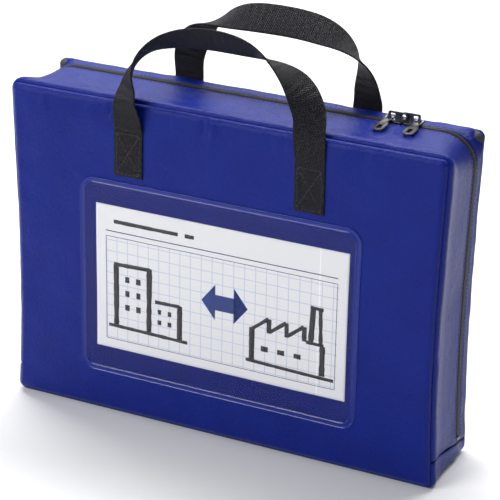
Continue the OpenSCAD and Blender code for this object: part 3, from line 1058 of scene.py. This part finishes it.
def surface_of(obj):
    """A finder of the nearest place on a finished piece, in mm."""
    points = [vertex.co / MM for vertex in obj.data.vertices]
    tree = BVHTree.FromPolygons(points, [tuple(polygon.vertices) for polygon in obj.data.polygons])

    def nearest(place):
        return tree.find_nearest(Vector(place))[:2]

    return nearest


def hem_stitches(name, gusset, y, material):
    surface = surface_of(gusset)
    stitches = []
    path = over_the_top(face_inset(y) - 1.5, corner_radius(y) + 1.5, wrap_edge(y) + 4)
    for x, z, run_x, run_z, out_x, out_z in even_places(path, STITCH_LEN + STITCH_GAP, 1):
        place, normal = surface((x, y, z))
        out = Vector((out_x, 0, out_z))
        if normal.dot(out) < 0:
            normal = -normal
        half = Vector((run_x, 0, run_z)) * STITCH_LEN / 2
        stitches.append((place + normal * 0.08, half, normal))
    return stitch_mesh(name, stitches, material)


navy_thread = thread_material("navy_thread", (0.006, 0.009, 0.07))
front_hem_stitching = hem_stitches("front_hem_stitching", front_gusset, FRONT_HEM_Y - HEM_STITCH_IN,
                                   navy_thread)
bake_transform(front_hem_stitching)
back_hem_stitching = hem_stitches("back_hem_stitching", back_gusset, BACK_HEM_Y + HEM_STITCH_IN,
                                  navy_thread)
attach(back_hem_stitching, "bag_body")

# ---------------------------------------------------------------------------------------------
# Sliders and pulls: die-cast, lacquered black. Each slider has an arch for its pull and an ear
# at its head; a padlock goes through both ears when the two sliders meet. The pulls are flat
# bars with a groove down the middle and an eye at the end.
# ---------------------------------------------------------------------------------------------

CAST_EDGE = 0.28


def cast_piece(node, name, body):
    """A copy of a cast part with its edges rounded as the mould leaves them."""
    piece = own_copy(node, name)
    select_only(piece)
    bpy.ops.object.mode_set(mode="EDIT")
    bpy.ops.mesh.select_all(action="SELECT")
    bpy.ops.mesh.dissolve_limited(angle_limit=math.radians(1))
    bpy.ops.object.mode_set(mode="OBJECT")
    round_edges(piece, CAST_EDGE, 3, 40)
    apply_modifiers(piece)
    bpy.ops.object.select_all(action="DESELECT")
    piece.select_set(True)
    bpy.ops.object.shade_smooth_by_angle(angle=SMOOTH_BELOW)
    piece.select_set(False)
    piece.data.materials.append(lacquer)
    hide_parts(node)
    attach(piece, body)
    return piece


for side in ("left", "right"):
    cast_piece("slider_" + side, side + "_slider_casting", "slider_" + side)
    cast_piece("pull_" + side, side + "_pull_casting", "pull_" + side)

# ---------------------------------------------------------------------------------------------
# Address window: a sheet of clear vinyl welded to the front panel round its edge.
# The welding tool leaves two raised beads with a flat between them. A slit near the right end,
# with ends that curve towards the card, lets the card in.
# ---------------------------------------------------------------------------------------------

BEAD_H = 1.0
RIM_W = 6.0
RIM_PROFILE = ((0.0, -0.3), (0.1, 0.3), (0.5, 0.75), (0.9, BEAD_H), (1.3, 0.75), (1.7, 0.35), (2.2, 0.3),
               (3.4, 0.3), (3.9, 0.35), (4.3, 0.8), (4.7, BEAD_H), (5.1, 0.8), (5.5, 0.4), (RIM_W, 0.3),
               (RIM_W, -0.3))
WINDOW_R = 13
FILM_UNDER_RIM = 0.8
FILM_LIFT = 1.35
FILM_T = 0.3
SLIT_R = 14
film_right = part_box("window_film")[1].x / MM
SLIT_W = 0.8


def window_point(turn_index, inset):
    """(x, z) on the window's rounded outline, made smaller by inset; turn_index runs 0 to 1 round it."""
    r = WINDOW_R - inset
    low_x, high_x = window_low.x + inset, window_high.x - inset
    low_z, high_z = window_low.z + inset, window_high.z - inset
    corners = ((high_x - r, low_z + r, -90), (high_x - r, high_z - r, 0),
               (low_x + r, high_z - r, 90), (low_x + r, low_z + r, 180))
    lengths = [high_z - low_z - 2 * r, high_x - low_x - 2 * r] * 2
    side = min(3, int(turn_index * 4))
    share = turn_index * 4 - side
    cx, cz, start = corners[side]
    if share < 0.4:
        angle = math.radians(start + 90 * share / 0.4)
        return cx + r * math.cos(angle), cz + r * math.sin(angle)
    angle = math.radians(start + 90)
    run = lengths[side] * (share - 0.4) / 0.6
    return cx + r * math.cos(angle) - run * math.sin(angle), cz + r * math.sin(angle) + run * math.cos(angle)


def rim_material():
    """Welded vinyl: the same blue as the cloth, smoother, and scuffed on its beads."""
    made, shader, tree = plain_material("welded_vinyl", (0.004, 0.014, 0.19), 0.2)
    shader.inputs["Specular IOR Level"].default_value = 0.3
    place = object_place(tree)
    uneven = noise_value(tree, place, 260, 3, 0.6)
    tint(tree, shader, uneven, (0.003, 0.011, 0.16), (0.008, 0.024, 0.24))
    vary_roughness(tree, shader, uneven, 0.2, 0.1)
    bump(tree, shader, uneven, 0.0002, 0.6)
    return made


def clear_vinyl_material():
    made, shader, tree = plain_material("clear_vinyl", (0.045, 0.045, 0.075), 0.12)
    shader.inputs["Specular IOR Level"].default_value = 0.6
    shader.inputs["Alpha"].default_value = 0.07
    vector, _, _ = cloth_place(tree)
    ripples = noise_value(tree, vector, 22, 3, 0.45)
    vary_roughness(tree, shader, ripples, 0.1, 0.08)
    bump(tree, shader, ripples, 0.0006, 0.4)
    return made


welded_vinyl = rim_material()
clear_vinyl = clear_vinyl_material()


def window_rim():
    rings = []
    steps = 360
    for i in range(steps):
        ring = []
        for inset, height in RIM_PROFILE:
            x, z = window_point(i / steps, inset)
            ring.append((drawn_in(x, z), front_face(x, z) - height, z))
        rings.append(ring)
    count = len(RIM_PROFILE)
    points = [p for ring in rings for p in ring]
    faces = [(i * count + k, i * count + (k + 1) % count, (i + 1) % steps * count + (k + 1) % count,
              (i + 1) % steps * count + k) for i in range(steps) for k in range(count)]
    rim = add_mesh("welded_window_rim", points, faces, None, welded_vinyl)
    face_outwards(rim)
    return rim


def corner_bend(z, low, high, r):
    """How far an upright line bends aside at that height, in arcs of radius r at both its ends."""
    past = max(low + r - z, z - (high - r), 0)
    return r - math.sqrt(max(0.0, r * r - min(past, r) ** 2))


def slit_line(z, extra):
    """x of the slit at that height, moved right by extra; its two ends curve towards the card."""
    return film_right + extra - corner_bend(z, window_low.z + RIM_W, window_high.z - RIM_W, SLIT_R)


def rim_line(z, side):
    """x of the film's outer edge under the rim at that height."""
    inset = RIM_W - FILM_UNDER_RIM
    bend = corner_bend(z, window_low.z + inset, window_high.z - inset, WINDOW_R - inset)
    return side * (window_high.x - inset - bend)


def left_film_edges(z):
    return rim_line(z, -1), slit_line(z, 0)


def right_film_edges(z):
    return slit_line(z, SLIT_W), rim_line(z, 1)


def film_sheet(name, node, edges, columns, seed):
    """Clear film between the two edges that edges(z) gives, its lips raised a little along the slit."""
    inset = RIM_W - FILM_UNDER_RIM
    rows = []
    for z in np.linspace(window_low.z + inset, window_high.z - inset, 110):
        low, high = edges(z)
        row = []
        for share in np.linspace(0, 1, columns):
            x = low + (high - low) * share
            from_slit = abs(x - slit_line(z, 0))
            lip = 0.3 * math.exp(-(from_slit / 2.2) ** 2)
            lift = FILM_LIFT + lip + abs(wobble(x, seed, z, 38, 0.4))
            row.append((drawn_in(x, z), front_face(x, z) - lift, z))
        rows.append(row)
    film = thicken(grid_mesh(name, rows, (0, -1, 0), clear_vinyl), FILM_T)
    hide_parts(node)
    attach(film, "front_flap")
    middle_z = (window_low.z + window_high.z) / 2
    wide = max(edges(z)[1] - edges(z)[0] for z in (middle_z, middle_z + 40)) * MM


rim = window_rim()
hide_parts("window_rim")
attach(rim, "front_flap")
film_sheet("window_film_sheet", "window_film", left_film_edges, columns=120, seed=51)
film_sheet("window_end_film_sheet", "window_end_film", right_film_edges, columns=26, seed=53)

# ---------------------------------------------------------------------------------------------
# Address card: printed paper with a ruled header line, a frame, a pale grid and a two-way arrow.
# Someone has drawn an office block and a factory on it with a marker pen.
# ---------------------------------------------------------------------------------------------

CARD_LIFT = 0.3
CARD_T = 0.3
GRID_SIDE, GRID_TOP, GRID_LOW = 9, 26, 8
GRID_PITCH = 9.3 * MM
GRID_LINE = 0.6 * MM
INK_T = 0.05
card_low, card_high = (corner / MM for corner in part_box("address_card"))
card_w = card_high.x - card_low.x
card_h = card_high.z - card_low.z


def card_material():
    made, shader, tree = plain_material("card_paper", (0.80, 0.81, 0.84), 0.75)
    vector, along, up = cloth_place(tree)
    lines = None
    for value in (along, up):
        place = calc(tree, "PINGPONG", value, GRID_PITCH / 2)
        line = calc(tree, "LESS_THAN", place, GRID_LINE / 2)
        lines = line if lines is None else calc(tree, "MAXIMUM", lines, line)
    inside = calc(tree, "LESS_THAN", up, (card_h - GRID_TOP) * MM)
    for value, low, high in ((up, GRID_LOW, card_h), (along, GRID_SIDE, card_w - GRID_SIDE)):
        inside = calc(tree, "MULTIPLY", inside, calc(tree, "GREATER_THAN", value, low * MM))
        inside = calc(tree, "MULTIPLY", inside, calc(tree, "LESS_THAN", value, high * MM))
    fibre = noise_value(tree, vector, 900, 2)
    paper = blend_colour(tree, fibre, (0.84, 0.855, 0.88), (0.90, 0.91, 0.935))
    printed = blend_colour(tree, calc(tree, "MULTIPLY", calc(tree, "MULTIPLY", lines, inside), 0.7), paper,
                           (0.42, 0.52, 0.76))
    link(tree, printed, shader.inputs["Base Color"])
    bump(tree, shader, fibre, 0.00004, 0.5)
    return made


def card_point(x, z, height):
    """A place on the card's face, x and z from its middle."""
    x += (card_low.x + card_high.x) / 2
    z += (card_low.z + card_high.z) / 2
    return drawn_in(x, z), front_face(x, z) - CARD_LIFT - CARD_T - height, z


paper = card_material()
card_rows = [[(drawn_in(x, z), front_face(x, z) - CARD_LIFT - CARD_T, z)
              for x in np.linspace(card_low.x, card_high.x, 110)]
             for z in np.linspace(card_low.z, card_high.z, 62)]
card = thicken(grid_mesh("address_card_paper", card_rows, (0, -1, 0), paper), CARD_T)
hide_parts("address_card")
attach(card, "card")


def face_forward(obj):
    """Turns a flat mark's faces to the front of the card."""
    for polygon in obj.data.polygons:
        if polygon.normal.y > 0:
            polygon.flip()


def ink_mesh(name, strokes, material):
    """Strokes of ink on the card; each is (points from the card's middle, width, height above it)."""
    points, faces = [], []
    for route, width, height in strokes:
        places = []
        for (ax, az), (bx, bz) in zip(route, route[1:]):
            steps = max(1, round(math.hypot(bx - ax, bz - az) / 3))
            places += [(ax + (bx - ax) * i / steps, az + (bz - az) * i / steps) for i in range(steps)]
        places.append(route[-1])
        base = len(points)
        for i, (x, z) in enumerate(places):
            ahead, behind = places[min(i + 1, len(places) - 1)], places[max(i - 1, 0)]
            run = Vector((ahead[0] - behind[0], ahead[1] - behind[1])).normalized()
            uneven = 1 + noise.noise(Vector((x * 0.2, z * 0.2, 4))) * (0.25 if width > 1 else 0)
            half = width / 2 * uneven
            for side in (-1, 1):
                points.append(card_point(x - run.y * half * side, z + run.x * half * side, height))
        for i in range(len(places) - 1):
            a = base + 2 * i
            faces.append((a, a + 1, a + 3, a + 2))
    ink = add_mesh(name, points, faces, None, material)
    face_forward(ink)
    thicken(ink, INK_T)
    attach(ink, "card")
    return ink


def ink_material(name, colour, blotch):
    made, shader, tree = plain_material(name, colour, 0.55)
    place = object_place(tree)
    uneven = noise_value(tree, place, 260, 4, 0.6)
    paler = tuple(c + blotch for c in colour)
    tint(tree, shader, uneven, colour, paler)
    return made


def rectangle(x0, z0, x1, z1):
    return [(x0, z0), (x1, z0), (x1, z1), (x0, z1), (x0, z0)]


navy_print = ink_material("navy_print", (0.03, 0.035, 0.16), 0.03)
marker = ink_material("marker_ink", (0.012, 0.013, 0.018), 0.03)
arrow_blue = ink_material("arrow_blue", (0.008, 0.05, 0.33), 0.02)
frame_x = card_w / 2 - GRID_SIDE
frame_top = card_h / 2 - GRID_TOP
frame_low = GRID_LOW - card_h / 2
ink_mesh("printed_frame", [(rectangle(-frame_x, frame_low, frame_x, frame_top), 0.5, INK_T),
                           ([(-frame_x, frame_top + 4.5), (frame_x, frame_top + 4.5)], 0.8, INK_T)],
         navy_print)
header_z = frame_top + 13
ink_mesh("header_strip", [([(-frame_x + 7, header_z), (-frame_x + 64, header_z)], 3.0, INK_T),
                          ([(-frame_x + 70, header_z), (-frame_x + 78, header_z)], 3.0, INK_T)], marker)


def panes(x, z, columns, rows, height, width):
    """Upright dabs of the pen for a building's windows."""
    return [([(x + column, z + row), (x + column, z + row + height)], width)
            for column in columns for row in rows]


def office_block(x, z):
    """A tall office block in outline with rows of windows, its lower left corner at (x, z)."""
    strokes = [([(x, z), (x, z + 52)], 4.6), ([(x - 2, z + 52), (x + 31, z + 53)], 3.4),
               ([(x + 30, z + 54), (x + 29.5, z)], 4.6), ([(x - 7, z - 1), (x + 64, z - 2)], 2.8),
               ([(x + 35, z + 27), (x + 57, z + 27.5)], 3.0), ([(x + 57, z + 28), (x + 57, z - 1)], 4.6)]
    strokes += panes(x, z, (10, 20), (14, 26, 38), height=5, width=4.0)
    return strokes + panes(x, z, (39, 48), (8, 17), height=4, width=3.4)


def factory(x, z):
    """A low factory with a saw-tooth roof and a chimney, its lower left corner at (x, z)."""
    strokes = [([(x, z), (x, z + 27)], 4.6), ([(x - 5, z - 1), (x + 70, z - 3)], 2.8),
               ([(x + 60, z - 1), (x + 60, z + 24)], 4.6)]
    for bay in range(3):
        left = x + 15 * bay
        strokes.append(([(left, z + 26), (left + 14, z + 37)], 3.0))
        strokes.append(([(left + 14.5, z + 37), (left + 14.5, z + 25)], 3.8))
    strokes += [([(x + 50, z + 24), (x + 51.5, z + 54)], 4.6), ([(x + 46, z + 25), (x + 61, z + 24.5)], 3.0),
                ([(x + 58.5, z + 24), (x + 57.5, z + 54)], 3.4),
                ([(x + 49, z + 54.5), (x + 60, z + 54)], 3.0)]
    strokes += [([(x + column, z + 11), (x + column + 6, z + 11)], 4.4) for column in (8, 22, 36)]
    return strokes


drawing = office_block(-91, -40) + factory(29, -43)
layered = [(route, width, INK_T * (1 + 0.2 * (k % 5))) for k, (route, width) in enumerate(drawing)]
ink_mesh("marker_drawing", layered, marker)


def two_way_arrow(x, z, length, height, head, bar):
    """A blue arrow with a head at each end, filled, centred on (x, z)."""
    half = length / 2
    outline = [(-half, 0), (head - half, height / 2), (head - half, bar / 2), (half - head, bar / 2),
               (half - head, height / 2), (half, 0), (half - head, -height / 2), (half - head, -bar / 2),
               (head - half, -bar / 2), (head - half, -height / 2)]
    points = [card_point(x + px, z + pz, INK_T) for px, pz in outline]
    faces = [(0, 1, 9), (1, 2, 8, 9), (2, 3, 7, 8), (3, 4, 6, 7), (4, 5, 6)]
    arrow = add_mesh("printed_arrow", points, faces, None, arrow_blue)
    face_forward(arrow)
    thicken(arrow, INK_T)
    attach(arrow, "card")


two_way_arrow(5, -2, length=40, height=30, head=12, bar=13)

# ---------------------------------------------------------------------------------------------
# Handles: one length of herringbone webbing each, its ends sewn flat to the panel with a
# stitched box and cross. On its way up each leg the webbing twists out of the panel's plane, by
# most of half a turn at the top. The two handles twist in opposite directions.
# ---------------------------------------------------------------------------------------------

STRAP_T = 1.5
ARCH_STEPS = 64
BEND_RISE = 4
LOOP_RISE = 57
STRAP_W = 25
STRAP_SINK = 0.15
ends_low, ends_high = (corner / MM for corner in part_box("front_handle_ends"))
back_ends_low, back_ends_high = (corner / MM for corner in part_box("back_handle_ends"))
SEWN_LOW, SEWN_TOP = ends_low.z, ends_high.z
LEG_X = ends_high.x - STRAP_W / 2
BACK_MIDDLE = (back_ends_low.x + back_ends_high.x) / 2
LOOP_TOP = BAG_H + LOOP_RISE


def webbing_material():
    """Black polypropylene webbing: a herringbone of fine ribs with grey glints between them."""
    made, shader, tree = plain_material("black_webbing", (0.010, 0.010, 0.013), 0.6)
    shader.inputs["Specular IOR Level"].default_value = 0.14
    vector, along, across = cloth_place(tree)
    zigzag = calc(tree, "PINGPONG", across, 0.0032)
    drift = calc(tree, "MULTIPLY", noise_value(tree, vector, 320, 2, 0.5), 3.0)
    ribs = waves(tree, calc(tree, "ADD", along, calc(tree, "MULTIPLY", zigzag, 1.3)), 0.0021, drift)
    yarns = waves(tree, across, 0.0011, drift)
    weave = calc(tree, "MULTIPLY_ADD", yarns, 0.45, ribs)
    speckle = noise_value(tree, vector, 480, 2, 0.7)
    lit = calc(tree, "MULTIPLY", calc(tree, "MULTIPLY_ADD", weave, 0.35, 0.45), speckle)
    contrast = calc(tree, "MULTIPLY_ADD", lit, 5.5, -1.6)
    clear = calc(tree, "MINIMUM", calc(tree, "MAXIMUM", contrast, 0.0), 1.0)
    tint(tree, shader, clear, (0.0015, 0.0015, 0.003), (0.075, 0.075, 0.090))
    vary_roughness(tree, shader, speckle, 0.3, 0.32)
    bump(tree, shader, weave, 0.00035, 0.8)
    return made


webbing = webbing_material()


def loop_share(z):
    """0 up to the top of the sewn ends, then up to 1 at a handle's top."""
    return max(0.0, (z - SEWN_TOP) / (LOOP_TOP - SEWN_TOP))


def arch_part(value, squareness):
    return math.copysign(abs(value) ** (2 / squareness), value)


def strap_route(face, outward, middle, stand_y, lean, sway, squareness):
    """Middle line of the webbing from its left end to its right end, over the arch."""
    bend_z = BAG_H + BEND_RISE

    def leg_y(z):
        on_panel = face(middle + LEG_X, min(z, SEWN_TOP)) + outward * (STRAP_T / 2 - STRAP_SINK)
        return on_panel + (stand_y - on_panel) * smooth((z - (BAG_H - 6)) / 24)

    def drift(z):
        return middle + sway * smooth(loop_share(z))

    leg = np.linspace(SEWN_LOW, bend_z, 26, endpoint=False)
    route = [(drift(z) - LEG_X, leg_y(z), z) for z in leg]
    for i in range(ARCH_STEPS + 1):
        turn = math.pi * i / ARCH_STEPS
        z = bend_z + (LOOP_TOP - bend_z) * arch_part(math.sin(turn), squareness)
        route.append((drift(z) - LEG_X * arch_part(math.cos(turn), squareness),
                      leg_y(z) - outward * lean * smooth(math.sin(turn)), z))
    return route + [(drift(z) + LEG_X, leg_y(z), z) for z in leg[::-1]]


def strap_mesh(name, face, outward, route, full_twist, powers, sag):
    """Webbing swept along its route, turned out of its plane by a twist that grows towards the top.

    The two powers tell how late that turn comes on the way up the left leg and up the right leg.
    Beside the panel the edge that turns back stays on it, so the webbing stands off by that much."""
    dense = [Vector(p) for p in route]
    rows = []
    last = len(dense) - 1
    for i, place in enumerate(dense):
        run = (dense[min(i + 1, last)] - dense[max(i - 1, 0)]).normalized()
        share = loop_share(place.z)
        twist = math.radians(full_twist * share ** powers[0 if i < last / 2 else 1])
        flat = Vector((run.z, 0, -run.x)).normalized()
        across = flat * math.cos(twist) + Vector((0, 1, 0)) * math.sin(twist)
        normal = run.cross(across).normalized()
        beside_panel = 1 - smooth((place.z - BAG_H + 2) / 14)
        stand_off = STRAP_W / 2 * abs(math.sin(twist)) * beside_panel
        row = []
        for lane in np.linspace(-1, 1, 13):
            crown = sag * (1 - lane * lane) * share
            wave = wobble(place.x, place.z, lane * 12, 22, 0.5) * smooth((place.z - SEWN_TOP) / 12)
            point = place + across * lane * STRAP_W / 2 + normal * (crown + wave)
            point.y += outward * stand_off
            if place.z < SEWN_TOP + 2:
                point.y = face(point.x, point.z) + outward * (STRAP_T / 2 - STRAP_SINK)
            row.append(point)
        rows.append(row)
    strap = grid_mesh(name, rows, (0, 0, 1), webbing)
    solid = strap.modifiers.new("wall", "SOLIDIFY")
    solid.thickness = STRAP_T * MM
    solid.offset = 0
    round_edges(strap, 0.5, 2, 60)
    apply_modifiers(strap)
    return strap


STAND_OFF = 0.3 + STRAP_T / 2
front_route = strap_route(front_face, -1, 0, FRONT_Y - STAND_OFF, lean=5, sway=-5, squareness=2.2)
front_strap = strap_mesh("front_handle_strap", front_face, -1, front_route, full_twist=-145,
                         powers=(1.6, 2.6), sag=0.6)
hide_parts("front_handle", "front_handle_ends")
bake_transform(front_strap)
back_route = strap_route(back_face, 1, BACK_MIDDLE, BACK_Y + STAND_OFF, lean=2, sway=2, squareness=2.6)
back_strap = strap_mesh("back_handle_strap", back_face, 1, back_route, full_twist=140,
                        powers=(4, 2.6), sag=0.6)
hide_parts("back_handle", "back_handle_ends")
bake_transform(back_strap)


def box_and_cross(name, face, outward, middle, body):
    """The stitched box with a cross that holds both ends of a handle."""
    in_x, low, high = STRAP_W / 2 - 2.5, SEWN_LOW + 2.5, SEWN_TOP - 2
    lines = (((-in_x, low), (in_x, low)), ((in_x, low), (in_x, high)), ((in_x, high), (-in_x, high)),
             ((-in_x, high), (-in_x, low)), ((-in_x, low), (in_x, high)), ((in_x, low), (-in_x, high)))
    stitches = []
    for leg in (middle - LEG_X, middle + LEG_X):
        for (ax, az), (bx, bz) in lines:
            length = math.hypot(bx - ax, bz - az)
            count = max(1, int(length / (STITCH_LEN + 0.9)))
            for k in range(count):
                share = (k + 0.5) / count
                x, z = leg + ax + (bx - ax) * share, az + (bz - az) * share
                run = Vector((bx - ax, 0, bz - az)).normalized() * STITCH_LEN / 2
                y = face(x, z) + outward * (STRAP_T - STRAP_SINK + 0.05)
                stitches.append((Vector((x, y, z)), run, Vector((0, outward, 0))))
    thread = stitch_mesh(name, stitches, black_thread)
    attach(thread, body)


black_thread = thread_material("black_thread", (0.02, 0.02, 0.024))
box_and_cross("front_handle_stitching", front_face, -1, 0, "front_flap")
box_and_cross("back_handle_stitching", back_face, 1, BACK_MIDDLE, "bag_body")
